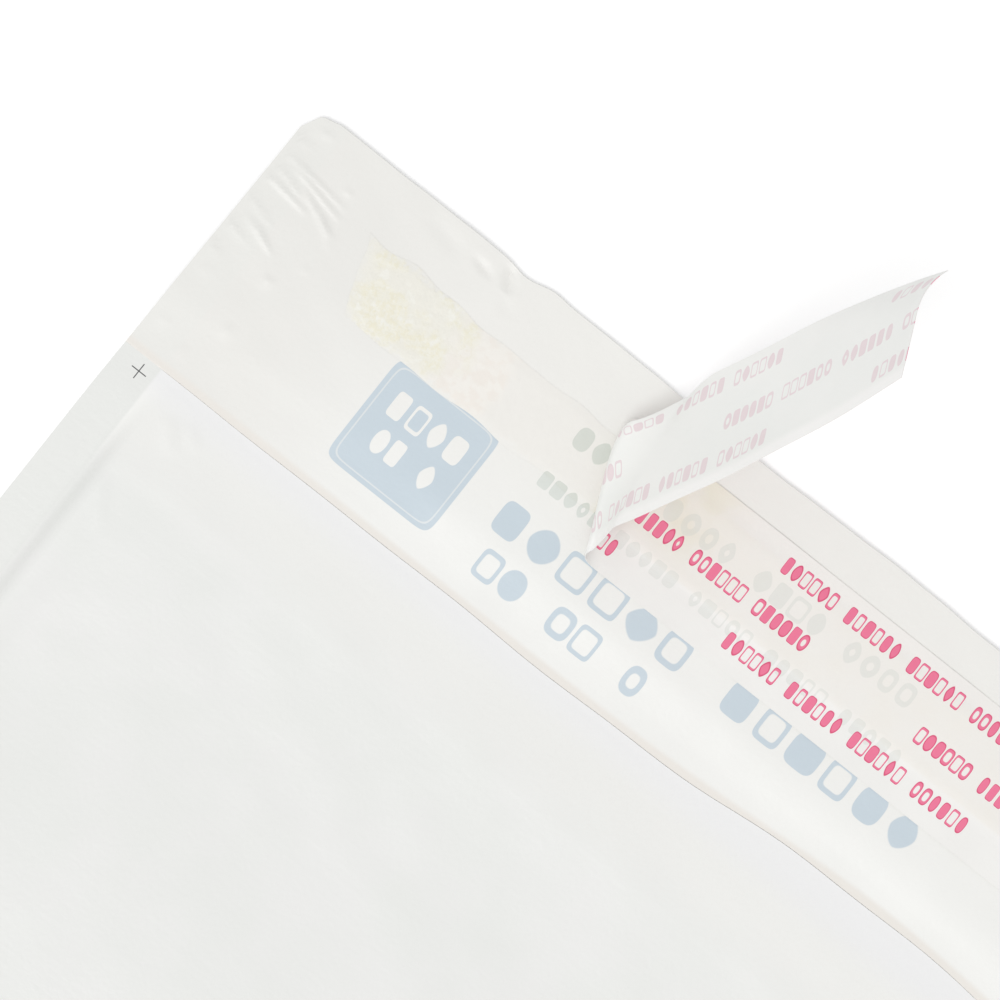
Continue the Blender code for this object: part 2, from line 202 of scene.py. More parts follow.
# Distances between points
CORNER_COLUMNS = 8
LEFT_STEP = 0.85 * MM
KINK_STEP = 1.2 * MM
COLUMN_STEP = 2.2 * MM
CUT_SHARE = 0.0015
GROOVE_SHARE = 0.04
GROOVE_ROW = 1.0 / 200
NEAR_MOUTH_ROW = 1.0 / 60
NEAR_EDGE_ROW = 1.0 / 135
CREASED_SHARE = 0.44
LIP_ROWS = 24
FRONT_ROWS = 26
BODY_ROWS = 50
POCKET_LIP_ROWS = 8
POCKET_ROWS = 40
NOSE_STEPS = 8
LINING_STEP = 1.6 * MM
STUCK_ROWS = 90
BEND_ROWS = 26
PEELED_ROWS = 76
LINER_COLUMNS = 28
ADHESIVE_ROWS = 250
ADHESIVE_COLUMNS = 24
WELD_DISTANCE = 1e-6
SHARP_ANGLE = math.radians(40.0)

# Rows of print on the flap: start, length, place below the free edge, half height and pitch,
# in millimetres, and the marks to a word
BLUE_ROWS = (
    (-38.0, 109.2, 41.4, 3.7, 8.4, 7),
    (-34.8, 43.4, 51.4, 3.3, 6.2, 3),
    (-35.0, 96.0, 30.6, 1.8, 3.2, 6),
    (-34.8, 92.0, 19.4, 2.5, 4.6, 5),
)
# Rows of print on the liner: start and place below the free edge, in mm
RED_ROWS = ((14.4, 13.8), (-33.4, 24.0), (14.4, 33.0))
RED_LENGTH = 62.1
RED_REPEAT = 90.0
RED_HALF_HEIGHT = 1.9
RED_PITCH = 2.3
WHOLE_WORDS = 630.0
PLAQUE = (-58.6, 164.6, 13.2, 12.6)
PLAQUE_ROWS = ((-68.2, 19.2, 37.2, 2.9, 4.8, 9), (-66.4, 15.6, 45.2, 2.7, 3.9, 3))
CROSS = (-111.5, 141.9, 1.8, 0.11)


def colour(red, green, blue):
    """Linear colour of a screen colour given from 0 to 255."""
    screen = np.array([red, green, blue]) / 255.0
    linear = np.where(screen <= 0.04045, screen / 12.92, ((screen + 0.055) / 1.055) ** 2.4)
    return (*(float(value) for value in linear), 1.0)


def rise(distance, length):
    """Smooth step from 0 at the edge to 1 at the given length: 3 t^2 - 2 t^3."""
    share = np.clip(distance / length, 0.0, 1.0)
    return share * share * (3.0 - 2.0 * share)


def rumple(x, y, length, seed):
    """Irregular swell of about -1 to 1: the sum of nine plane waves, divided by three.

    Their directions, phases and wavelengths, 0.7 to 1.3 times the length, come from the seed.
    """
    total = 0.0
    for turn, stretch, phase in np.random.default_rng(seed).random((9, 3)):
        wave = 2.0 * math.pi / (length * (0.7 + 0.6 * stretch))
        heading = 2.0 * math.pi * turn
        across = x * math.cos(heading) + y * math.sin(heading)
        total = total + np.sin(wave * across + 2.0 * math.pi * phase)
    return total / 3.0


def ridges(x, y, lines):
    """Soft creases: height * exp(-(r / width)^2) * sin(pi t)^0.6 for each line.

    t is the share along the line, from 0 to 1, and r the distance off it.
    """
    total = np.zeros(np.broadcast(x, y).shape)
    for x0, y0, x1, y1, width, height in np.array(lines) * MM:
        length = math.hypot(x1 - x0, y1 - y0)
        run_x = (x1 - x0) / length
        run_y = (y1 - y0) / length
        share = ((x - x0) * run_x + (y - y0) * run_y) / length
        off = (x - x0) * run_y - (y - y0) * run_x
        ends = np.sin(math.pi * np.clip(share, 0.0, 1.0)) ** 0.6
        total += height * np.exp(-((off / width) ** 2)) * ends
    return total


def bumps(x, y, places):
    """Round pimples: height * exp(-(r / radius)^2) for each place."""
    total = np.zeros(np.broadcast(x, y).shape)
    for centre_x, centre_y, radius, height in np.array(places) * MM:
        apart = (x - centre_x) ** 2 + (y - centre_y) ** 2
        total += height * np.exp(-apart / radius ** 2)
    return total


def fullness(y):
    """1 up to the middle of the bag, then a smooth step down to 0.08 at the lining's top edge."""
    return 1.0 - SLACK_SHARE * rise(y - SLACK_START_Y, LINING_TOP_Y - SLACK_START_Y)


def lining_height(x, y):
    """Height of the bubbles: full inside, falling on smooth steps to the sides and both ends."""
    inside = rise(LINING_X - np.abs(x), LINING_SIDE_TAPER) * rise(y - FOLD_Y, LINING_FOLD_TAPER)
    return LINING_EDGE_HEIGHT + (LINING_HEIGHT - LINING_EDGE_HEIGHT) * inside * fullness(y)


def pocket_height(x, y):
    """Air between the layers: (1 - |x|^3) across, 1 - (1 - t)^3 up from the fold, slack above."""
    across = 1.0 - np.minimum(np.abs(x) / LINING_X, 1.0) ** POCKET_ROUNDNESS
    share = np.clip((y - FOLD_Y) / POCKET_RISE, 0.0, 1.0)
    along = (1.0 - (1.0 - share) ** POCKET_ROUNDNESS) * fullness(y)
    return POCKET_EDGE_HEIGHT + (POCKET_HEIGHT - POCKET_EDGE_HEIGHT) * across * along


def back_lining_z(x, y):
    """Smooth upper side of the lining's back layer."""
    return FILM + CLEARANCE + lining_height(x, y)


def front_lining_z(x, y):
    """Smooth lower side of the lining's front layer."""
    return back_lining_z(x, y) + pocket_height(x, y)


def panel_z(x, y):
    """Outer side of the front panel over the lining, falling to the seals on a smooth step."""
    over_lining = np.clip(x, -LINING_X, LINING_X)
    height = front_lining_z(over_lining, y) + lining_height(over_lining, y)
    height = height + DRAPE_CLEARANCE + FILM
    return 2 * FILM + (height - 2 * FILM) * rise(SEAL_X - np.abs(x), SEAL_X - LINING_X)


def mouth_y(x):
    """Cut edge of the front panel: straight, with a bell-shaped bow and a slight wave."""
    bow = MOUTH_BOW * np.exp(-(((x - MOUTH_BOW_X) / MOUTH_BOW_REACH) ** 2))
    inside = rise(SEAL_X - np.abs(x), 12 * MM)
    return MOUTH_Y + bow + LIP_WAVE * rumple(x, 0.0, LIP_WAVE_LENGTH, 4) * inside


def lip_z(x):
    """Outer side of the cut edge: an arch, 1 - |x|^2.6, low but for a bell where it bows."""
    arch = 1.0 - np.minimum(np.abs(x) / SEAL_X, 1.0) ** LIP_ROUNDNESS
    bell = np.exp(-(((x - MOUTH_BOW_X) / LIP_OPEN_REACH) ** 2))
    share = LIP_LOW_SHARE + (1.0 - LIP_LOW_SHARE) * bell
    return 2 * FILM + (LIP_HEIGHT - 2 * FILM) * arch * share


def front_z(x, y):
    """Front panel over the lining, then a smooth step down to its cut edge, with its creases."""
    share = rise(y - LINING_TOP_Y, mouth_y(x) - LINING_TOP_Y)
    over = panel_z(x, np.minimum(y, LINING_TOP_Y))
    plain = over * (1.0 - share) + lip_z(x) * share
    inside = rise(SEAL_X - np.abs(x), SWELL_FROM_SEAL) * rise(y - FOLD_Y, SWELL_FROM_FOLD)
    swell = SWELL * rumple(x, y, SWELL_LENGTH, 11) + RIPPLE * rumple(x, y, RIPPLE_LENGTH, 12)
    step = TOP_STEP * np.exp(-(((y - TOP_STEP_Y) / TOP_STEP_REACH) ** 2))
    step = step * (1.0 - rise(x - TOP_STEP_FADE_X, TOP_STEP_FADE))
    fused = rise(np.abs(x) - SEAL_X, FUSED_REACH) * (1.0 - rise(mouth_y(x) - y, FUSED_LENGTH))
    plain = plain - FUSED_SHARE * FILM * fused
    creases = ridges(x, y, FRONT_CREASES) * rise(SEAL_X - np.abs(x), 4 * MM)
    return plain + (swell - step) * inside * (1.0 - share) + creases


def cut_thinning(x, y):
    """Film worn thinner over the last 3 mm to the mouth, between the side seals."""
    near_cut = 1.0 - rise(mouth_y(x) - y, 3 * MM)
    return CUT_THINNING * near_cut * (1.0 - rise(np.abs(x) - SEAL_X, FUSED_REACH))


def free_edge_y(x):
    """Free edge of the flap: straight, two short cuts at each corner, and its wander."""
    into_corner = (np.abs(x) - SIDE_X + CORNER_RADIUS) / MM
    corner = -np.interp(into_corner, CORNER_INTO, CORNER_DROP) * MM
    places, reaches, depths = np.array(EDGE_WANDER).T[:, :, None] * MM
    wander = depths * np.exp(-(((x[None, :] - places) / reaches) ** 2))
    return FREE_Y + corner + wander.sum(axis=0) + 0.08 * MM * rumple(x, 0.0, 14 * MM, 5)


def flap_z(y):
    """Underside of the plain flap: a smooth step up past the mouth, then level."""
    return FLAP_LIFT * rise(y - MOUTH_Y - MOUTH_BOW, FLAP_RISE)


def flap_relief(x, y):
    """Swell of the flap: the ridge beside the mouth, creases, dents, pimples and rumples."""
    past_mouth = rise(y - mouth_y(x), 8 * MM)
    ridge = RIDGE * np.exp(-(((y - RIDGE_Y) / RIDGE_REACH) ** 2))
    fuller = rise(x - RIDGE_FULL_FROM_X, RIDGE_FULL_LENGTH)
    ridge = ridge * (RIDGE_LEFT_SHARE + (1.0 - RIDGE_LEFT_SHARE) * fuller)
    swell = FLAP_SWELL * (1.0 + rumple(x, y, FLAP_SWELL_LENGTH, 21))
    swell = swell + FLAP_RIPPLE * (1.0 + rumple(x, y, FLAP_RIPPLE_LENGTH, 22))
    worn = ridges(x, y, SEAL_CREASES) + ridges(x, y, EDGE_DENTS) + bumps(x, y, PIMPLES)
    return (ridge + swell) * past_mouth + worn


def narrowed(points):
    """The same points drawn in towards the middle as the flap runs out, x times 1 - 0.0085 t."""
    share = rise(points[..., 1] - (MOUTH_Y - 20 * MM), 80 * MM)
    points[..., 0] *= 1.0 - FLAP_NARROWING * share
    return points


def stack(x, y, z):
    """One grid of points from arrays that broadcast together."""
    return np.stack(np.broadcast_arrays(x, y, z), axis=-1).astype(float)


def evenly(start, end, step):
    """Places from start to end, both kept, about a step apart."""
    return np.linspace(start, end, max(int(round(abs(end - start) / step)), 1) + 1)


def joined(*runs):
    """Several runs of places as one, each starting where the last ended."""
    return np.concatenate([run[:-1] for run in runs[:-1]] + [runs[-1]])


def film_columns():
    """Places across the film: corner arcs, seals and lining sides kept, closer at the left."""
    arc = SIDE_X - CORNER_RADIUS + CORNER_RADIUS * np.sin(
        np.linspace(0.0, math.pi / 2, CORNER_COLUMNS + 1)
    )
    left = joined(
        -arc[::-1],
        evenly(-arc[0], -SEAL_X, LEFT_STEP),
        evenly(-SEAL_X, -LINING_X, LEFT_STEP),
        evenly(-LINING_X, -80 * MM, LEFT_STEP),
        evenly(-80 * MM, -52 * MM, KINK_STEP),
    )
    right = joined(
        evenly(-52 * MM, LINING_X, COLUMN_STEP),
        evenly(LINING_X, SEAL_X, COLUMN_STEP / 2),
        evenly(SEAL_X, arc[0], COLUMN_STEP),
        arc,
    )
    return joined(left, right)


def panel_grid(columns, body_rows, upper_rows, lip_rows):
    """Y of a panel's points: body, stretch below the lining's top edge, and lip to the mouth."""
    rows = joined(
        np.linspace(FOLD_Y, 88 * MM, body_rows + 1),
        np.linspace(88 * MM, LINING_TOP_Y, upper_rows + 1),
    )
    below = np.broadcast_to(rows[:, None], (len(rows), len(columns)))
    share = np.linspace(0.0, 1.0, lip_rows + 1)[1:, None]
    lip = LINING_TOP_Y + (mouth_y(columns) - LINING_TOP_Y) * share
    return np.concatenate([below, lip])


def nose_grid(columns, inset):
    """Bottom fold: half circles of half the panel's height, less the inset, at each column."""
    centre_z = panel_z(columns, FOLD_Y) / 2
    radius = centre_z - inset
    angle = np.linspace(-math.pi / 2, math.pi / 2, NOSE_STEPS + 1)[:, None]
    y = BOTTOM_Y + centre_z - radius * np.cos(angle)
    return stack(columns, y, centre_z + radius * np.sin(angle))


def between(first, second):
    """Two-row grid that joins two lines of points."""
    return np.array([first, second])


def film_grids():
    """All sides of the web of film, with the number of the material that each one shows."""
    every = film_columns()
    between_seals = np.abs(every) <= SEAL_X + WELD_DISTANCE
    inner = every[between_seals]
    nose_out = nose_grid(every, 0.0)
    nose_in = nose_grid(inner, FILM)

    y = panel_grid(every, BODY_ROWS, FRONT_ROWS, LIP_ROWS)
    front_out = stack(every, y, front_z(every, y) - cut_thinning(every, y))
    back_out = stack(every, y, 0.0)
    y = panel_grid(inner, POCKET_ROWS, POCKET_LIP_ROWS, POCKET_LIP_ROWS)
    front_in = stack(inner, y, front_z(inner, y) - FILM)
    back_in = stack(inner, y, FILM)
    front_out[0] = nose_out[-1]
    back_out[0] = nose_out[0]
    front_in[0] = nose_in[-1]
    back_in[0] = nose_in[0]

    share = joined(
        evenly(0.0, CUT_SHARE, CUT_SHARE),
        evenly(CUT_SHARE, GROOVE_SHARE, GROOVE_ROW),
        evenly(GROOVE_SHARE, CREASED_SHARE, NEAR_MOUTH_ROW),
        evenly(CREASED_SHARE, 1.0, NEAR_EDGE_ROW),
    )[:, None]
    y = mouth_y(every) + (free_edge_y(every) - mouth_y(every)) * share
    ahead = y - mouth_y(every)
    flush = rise(ahead, CUT_GROOVE) * (1.0 - rise(ahead - CUT_GROOVE, 12 * MM))
    flush = flush * (front_out[-1, :, 2] - FILM)
    under = np.maximum(flap_z(y) + flap_relief(every, y), 0.0) + flush
    under[0] = 0.0
    flap_under = stack(every, y, under)
    flap_top = stack(every, y, under + FILM)
    flap_top[-1, :, 1] -= EDGE_LEAN

    lip_foot = flap_top[0].copy()
    lip_foot[between_seals] = front_in[-1]
    outside = [nose_out, front_out, back_out, between(front_out[-1], lip_foot)]
    inside = [nose_in, front_in, back_in]
    flap = [flap_top, between(flap_under[-1], flap_top[-1])]
    for side in (0, -1):
        middle = back_out[:, side] + np.array([0.0, 0.0, FILM])
        outside.append(np.array([front_out[:, side], middle, back_out[:, side]]))
        weld_line = np.repeat(middle[:1], NOSE_STEPS + 1, axis=0)
        outside.append(between(nose_out[:, side], weld_line))
        flap.append(between(flap_under[:, side], flap_top[:, side]))
    groups = [(outside, 0), (inside, 1), (flap, 1), ([flap_under], 2)]
    return [(narrowed(grid), number) for grids, number in groups for grid in grids]


def dome(x, y):
    """Share of a bubble's height: (1 - (r / radius)^2.4)^0.55 about the nearest bubble.

    The centres are a staggered lattice; r is the smaller of the distances in its two halves.
    """
    row_step = BUBBLE_PITCH * math.sqrt(3.0)
    nearest = np.full(np.broadcast(x, y).shape, BUBBLE_PITCH)
    for shift_x, shift_y in ((0.0, 0.0), (BUBBLE_PITCH / 2, row_step / 2)):
        off_x = (x - shift_x) - BUBBLE_PITCH * np.round((x - shift_x) / BUBBLE_PITCH)
        off_y = (y - shift_y) - row_step * np.round((y - shift_y) / row_step)
        whole_x = np.abs(x - off_x) + BUBBLE_RADIUS + BUBBLE_MARGIN < LINING_X
        centre_y = y - off_y
        whole_y = (centre_y - BUBBLE_RADIUS > FOLD_Y + BUBBLE_MARGIN) & (
            centre_y + BUBBLE_RADIUS + BUBBLE_MARGIN < LINING_TOP_Y
        )
        apart = np.where(whole_x & whole_y, np.hypot(off_x, off_y), BUBBLE_PITCH)
        nearest = np.minimum(nearest, apart)
    inside = np.clip(1.0 - (nearest / BUBBLE_RADIUS) ** 2.4, 0.0, 1.0)
    return inside ** 0.55


def lining_grids():
    """Both layers of bubble film, smooth side and domed side, their fold and cut edges."""
    columns = evenly(-LINING_X, LINING_X, LINING_STEP)
    rows = evenly(FOLD_Y, LINING_TOP_Y, LINING_STEP)[:, None]
    height = LINING_WEB + (lining_height(columns, rows) - LINING_WEB) * dome(columns, rows)
    front = front_lining_z(columns, rows)
    back = back_lining_z(columns, rows)
    layers = [
        (stack(columns, rows, front), stack(columns, rows, front + height)),
        (stack(columns, rows, back), stack(columns, rows, back - height)),
    ]
    angle = np.linspace(-math.pi / 2, math.pi / 2, NOSE_STEPS + 1)[:, None]
    folds = [
        stack(columns, FOLD_Y - radius * np.cos(angle), FOLD_Z + radius * np.sin(angle))
        for radius in (FOLD_RADIUS, FOLD_RADIUS + LINING_WEB)
    ]
    grids = folds + [grid for layer in layers for grid in layer]
    for smooth, domed in layers:
        grids.append(between(smooth[-1], domed[-1]))
    for side in (0, -1):
        grids.append(between(folds[0][:, side], folds[1][:, side]))
        for smooth, domed in layers:
            grids.append(between(smooth[:, side], domed[:, side]))
    return [(grid, 0) for grid in grids]


def closed_sheet(under, top, under_number, top_number):
    """Six grids round a thin sheet, with the material of its underside and of the rest."""
    grids = [(under, under_number), (top, top_number)]
    for side in (0, -1):
        grids.append((between(under[side], top[side]), top_number))
        grids.append((between(under[:, side], top[:, side]), top_number))
    return grids


def adhesive_grids():
    """Band with slanted, slightly wavy edges and a grainy top that is rougher at its left."""
    share = np.linspace(-1.0, 1.0, ADHESIVE_ROWS + 1)[:, None]
    across = np.linspace(0.0, 1.0, ADHESIVE_COLUMNS + 1)
    half = SIDE_X - ADHESIVE_FROM_SIDE - ADHESIVE_END_SLANT * across
    x = half * share + 0.5 * MM * rumple(0.0, across * ADHESIVE_WIDTH, 9 * MM, 31) * share ** 8
    upper = FREE_Y - ADHESIVE_BELOW_EDGE - 1.1 * MM * rise(x + 80 * MM, 30 * MM)
    upper = upper + 0.35 * MM * rumple(x, 0.0, 13 * MM, 32)
    lower = FREE_Y - ADHESIVE_BELOW_EDGE - ADHESIVE_WIDTH + 0.5 * MM * rumple(x, 0.0, 19 * MM, 33)
    y = upper + (lower - upper) * across
    under = np.maximum(flap_z(y) + flap_relief(x, y), 0.0) + ADHESIVE_Z
    grain = 0.03 + 0.06 * rise(-60 * MM - x, 14 * MM)
    grain = grain * (rumple(x, y, 1.9 * MM, 34) + 0.6 * rumple(x, y, 4.5 * MM, 35))
    inner = rise(np.minimum(across, 1.0 - across), 0.12) * rise(1.0 - np.abs(share), 0.03)
    thickness = ADHESIVE_RIM + (ADHESIVE - ADHESIVE_RIM) * inner
    top = under + thickness + np.clip(grain, -0.08, 0.10) * MM * inner
    return closed_sheet(stack(x, y, under), stack(x, y, top), 0, 0)


def turned(vectors, axis, angle):
    """Vectors turned about a unit axis by an angle for each, by Rodrigues' formula."""
    cosine = np.cos(angle)[..., None]
    sine = np.sin(angle)[..., None]
    along = (vectors @ axis)[..., None] * axis
    return vectors * cosine + np.cross(axis, vectors) * sine + along * (1.0 - cosine)


def liner_surface(x, y):
    """Underside points and upward normals of the liner for flat places on the flap.

    It is flat up to a slanted line, rolls up about that line by a fixed angle, twists about
    its own middle, bows back on a wide arc, and its far corner curls as a square. The roll's
    upper end is drawn in towards the mouth as the square of the place across.
    """
    up = np.array([0.0, 0.0, 1.0])
    fold = np.array([-math.sin(PEEL_SKEW), math.cos(PEEL_SKEW), 0.0])
    away = np.array([-math.cos(PEEL_SKEW), -math.sin(PEEL_SKEW), 0.0])
    raised = math.cos(PEEL_TURN) * away + math.sin(PEEL_TURN) * up
    run = math.sin(PEEL_SKEW) * fold + math.cos(PEEL_SKEW) * raised

    middle = np.array([PEEL_X, LINER_MIDDLE_Y, 0.0])
    flat = stack(x, y, 0.0) - middle
    along = (flat @ fold)[..., None]
    past = flat @ away
    turn = np.clip(past / PEEL_RADIUS, 0.0, PEEL_TURN)
    straight = np.maximum(past - PEEL_RADIUS * PEEL_TURN, 0.0)
    before = np.minimum(past, 0.0)
    cosine = np.cos(turn)[..., None]
    sine = np.sin(turn)[..., None]
    normal = cosine * up - sine * away
    point = along * fold + before[..., None] * away
    point += PEEL_RADIUS * sine * away + PEEL_RADIUS * (1.0 - cosine) * up
    point += straight[..., None] * (cosine * away + sine * up)

    hinge = PEEL_RADIUS * (
        PEEL_TURN * math.tan(PEEL_SKEW) * fold
        + math.sin(PEEL_TURN) * away
        + (1.0 - math.cos(PEEL_TURN)) * up
    )
    twist = PEEL_TWIST * np.clip(straight / PEEL_TWIST_LENGTH, 0.0, 1.0)
    point = turned(point - hinge, run, twist) + hinge
    normal = turned(normal, run, twist)

    across = (y - LINER_MIDDLE_Y) / (LINER_WIDTH / 2)
    curl = np.maximum(across - (x + LINER_END_X) / CURL_LENGTH, 0.0) ** 2
    wave = 0.10 * MM * rumple(x, y, 26 * MM, 41) * rise(straight, 20 * MM)
    lift = CURL_HEIGHT * curl - straight ** 2 / (2 * PEEL_BOW_RADIUS) + wave
    point += lift[..., None] * normal
    pinch = np.maximum(across, 0.0) ** 2 * rise(past, 5 * MM) * (1.0 - rise(past - 9 * MM, 18 * MM))
    point -= pinch[..., None] * (PINCH_ALONG * fold + PINCH_BACK * away)
    below = FREE_Y - ADHESIVE_BELOW_EDGE - y
    off_glue = 1.0 - rise(below + 1 * MM, 2 * MM) * rise(ADHESIVE_WIDTH + 1 * MM - below, 2 * MM)
    relief = flap_z(y) + LINER_Z + flap_relief(x, y) * (1.0 - rise(past, 4 * MM))
    relief = relief - LINER_DROP * off_glue * (1.0 - rise(past + 4 * MM, 4 * MM))
    relief = relief + 0.04 * MM * (1.0 + rumple(x, y, 21 * MM, 42))
    return point + middle + stack(0.0, 0.0, relief), normal


def liner_grids():
    """Whole liner: stuck stretch, rolled peel line and standing free end, with flat places."""
    half = LINER_WIDTH / 2
    across = np.linspace(-half, half, LINER_COLUMNS + 1)
    start = PEEL_X - math.tan(PEEL_SKEW) * across
    finish = start - PEEL_RADIUS * PEEL_TURN / math.cos(PEEL_SKEW)
    stuck = np.linspace(0.0, 1.0, STUCK_ROWS + 1)[:-1, None]
    bent = np.linspace(0.0, 1.0, BEND_ROWS + 1)[:-1, None]
    free = np.linspace(0.0, 1.0, PEELED_ROWS + 1)[:, None]
    x = np.concatenate([
        LINER_END_X + (start - LINER_END_X) * stuck,
        start + (finish - start) * bent,
        finish + (-LINER_END_X - finish) * free,
    ])
    y = np.broadcast_to(LINER_MIDDLE_Y + across, x.shape)
    under, normal = liner_surface(x, y)
    flat = np.stack([x / (2 * LINER_END_X) + 0.5, (y - LINER_MIDDLE_Y) / LINER_WIDTH + 0.5], axis=-1)
    under_and_flat = np.concatenate([under, flat], axis=-1)
    top_and_flat = np.concatenate([under + LINER * normal, flat], axis=-1)
    return closed_sheet(under_and_flat, top_and_flat, 1, 0)


def welded(grids):
    """Points, quads and material numbers of several grids, with points at one place made one."""
    points = []
    quads = []
    numbers = []
    start = 0
    for grid, number in grids:
        rows, columns = grid.shape[:2]
        index = np.arange(rows * columns).reshape(rows, columns) + start
        corners = (index[:-1, :-1], index[:-1, 1:], index[1:, 1:], index[1:, :-1])
        quads.append(np.stack(corners, axis=-1).reshape(-1, 4))
        numbers.append(np.full((rows - 1) * (columns - 1), number))
        points.append(grid.reshape(-1, grid.shape[2]))
        start += rows * columns
    points = np.concatenate(points)
    keys = np.round(points[:, :3] / WELD_DISTANCE).astype(np.int64)
    _, source, target = np.unique(keys, axis=0, return_index=True, return_inverse=True)
    return points[source], target.reshape(-1)[np.concatenate(quads)], np.concatenate(numbers)


def split_folded(quads, numbers):
    """Whole quads first, then the triangles left of quads that have two corners at one point."""
    folded = (quads == np.roll(quads, 1, axis=1)).any(axis=1)
    halves = np.concatenate([quads[folded][:, [0, 1, 2]], quads[folded][:, [0, 2, 3]]])
    whole = (halves != np.roll(halves, 1, axis=1)).all(axis=1)
    half_numbers = np.tile(numbers[folded], 2)[whole]
    faces = quads[~folded].tolist() + halves[whole].tolist()
    return faces, np.concatenate([numbers[~folded], half_numbers])


def add_flat_places(data, flat):
    """UV map from each point's place on the flat strip."""
    corners = np.empty(len(data.loops), dtype=np.int32)
    data.loops.foreach_get("vertex_index", corners)
    layer = data.uv_layers.new(name="strip")
    layer.data.foreach_set("uv", flat[corners].astype(np.float32).ravel())


def build_piece(name, grids, materials, node):
    """Closed body from welded grids that stands for one CAD node."""
    points, quads, numbers = welded(grids)
    faces, numbers = split_folded(quads, numbers)
    data = bpy.data.meshes.new(name)
    data.from_pydata(points[:, :3], [], faces)
    data.polygons.foreach_set("material_index", numbers.astype(np.int32))
    shell = bmesh.new()
    shell.from_mesh(data)
    bmesh.ops.recalc_face_normals(shell, faces=shell.faces)
    shell.to_mesh(data)
    shell.free()
    if points.shape[1] > 3:
        add_flat_places(data, points[:, 3:])
    data.shade_smooth()
    data.set_sharp_from_angle(angle=SHARP_ANGLE)
    for material in materials:
        data.materials.append(material)
    piece = bpy.data.objects.new(name, data)
    bpy.context.scene.collection.objects.link(piece)
    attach(piece, "root")
    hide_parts(node)
    return piece


class Wiring:
    """Adds nodes to one tree and joins them, so that a material reads as a list of steps."""

    def __init__(self, tree):
        self.tree = tree

    def feed(self, socket, value):
        """Link an output to the socket, or set a plain value on it."""
        if isinstance(value, bpy.types.NodeSocket):
            self.tree.links.new(value, socket)
        else:
            socket.default_value = value

    def node(self, kind, inputs=None, **settings):
        made = self.tree.nodes.new(kind)
        for name, value in settings.items():
            setattr(made, name, value)
        for name, value in (inputs or {}).items():
            self.feed(made.inputs[name], value)
        return made

    def math(self, operation, *values, clamp=False):
        made = self.node("ShaderNodeMath", operation=operation, use_clamp=clamp)
        for socket, value in zip(made.inputs, values):
            self.feed(socket, value)
        return made.outputs[0]

    def ramp(self, value, low, high, start=0.0, end=1.0):
        """Smooth step of a value from start, at low, to end, at high."""
        inputs = {"Value": value, "From Min": low, "From Max": high, "To Min": start, "To Max": end}
        made = self.node("ShaderNodeMapRange", inputs, interpolation_type="SMOOTHSTEP")
        return made.outputs["Result"]

    def mix(self, share, first, second):
        made = self.node("ShaderNodeMix", data_type="RGBA")
        self.feed(made.inputs["Factor"], share)
        self.feed(made.inputs[6], first)
        self.feed(made.inputs[7], second)
        return made.outputs[2]

    def noise(self, place, scale, detail=2.0, roughness=0.5):
        inputs = {"Vector": place, "Scale": scale, "Detail": detail, "Roughness": roughness}
        return self.node("ShaderNodeTexNoise", inputs).outputs["Fac"]

    def millimetres(self):
        """Place on the object in millimetres, and its X and Y."""
        spot = self.node("ShaderNodeTexCoord").outputs["Object"]
        scaled = self.node("ShaderNodeVectorMath", {0: spot}, operation="SCALE")
        scaled.inputs["Scale"].default_value = 1.0 / MM
        parts = self.node("ShaderNodeSeparateXYZ", {0: scaled.outputs[0]})
        return scaled.outputs[0], parts.outputs["X"], parts.outputs["Y"]

    def group(self, tree, **inputs):
        made = self.node("ShaderNodeGroup", node_tree=tree)
        for name, value in inputs.items():
            self.feed(made.inputs[name.replace("_", " ").title()], value)
        return made


def new_group(name, inputs, outputs):
    """Empty node group with float inputs and outputs, and the wiring to fill it."""
    tree = bpy.data.node_groups.new(name, "ShaderNodeTree")
    for socket_name, default in inputs:
        socket = tree.interface.new_socket(socket_name, in_out="INPUT", socket_type="NodeSocketFloat")
        socket.default_value = default
    for socket_name in outputs:
        tree.interface.new_socket(socket_name, in_out="OUTPUT", socket_type="NodeSocketFloat")
    wiring = Wiring(tree)
    entry = tree.nodes.new("NodeGroupInput")
    leave = tree.nodes.new("NodeGroupOutput")
    return tree, wiring, entry.outputs, leave.inputs


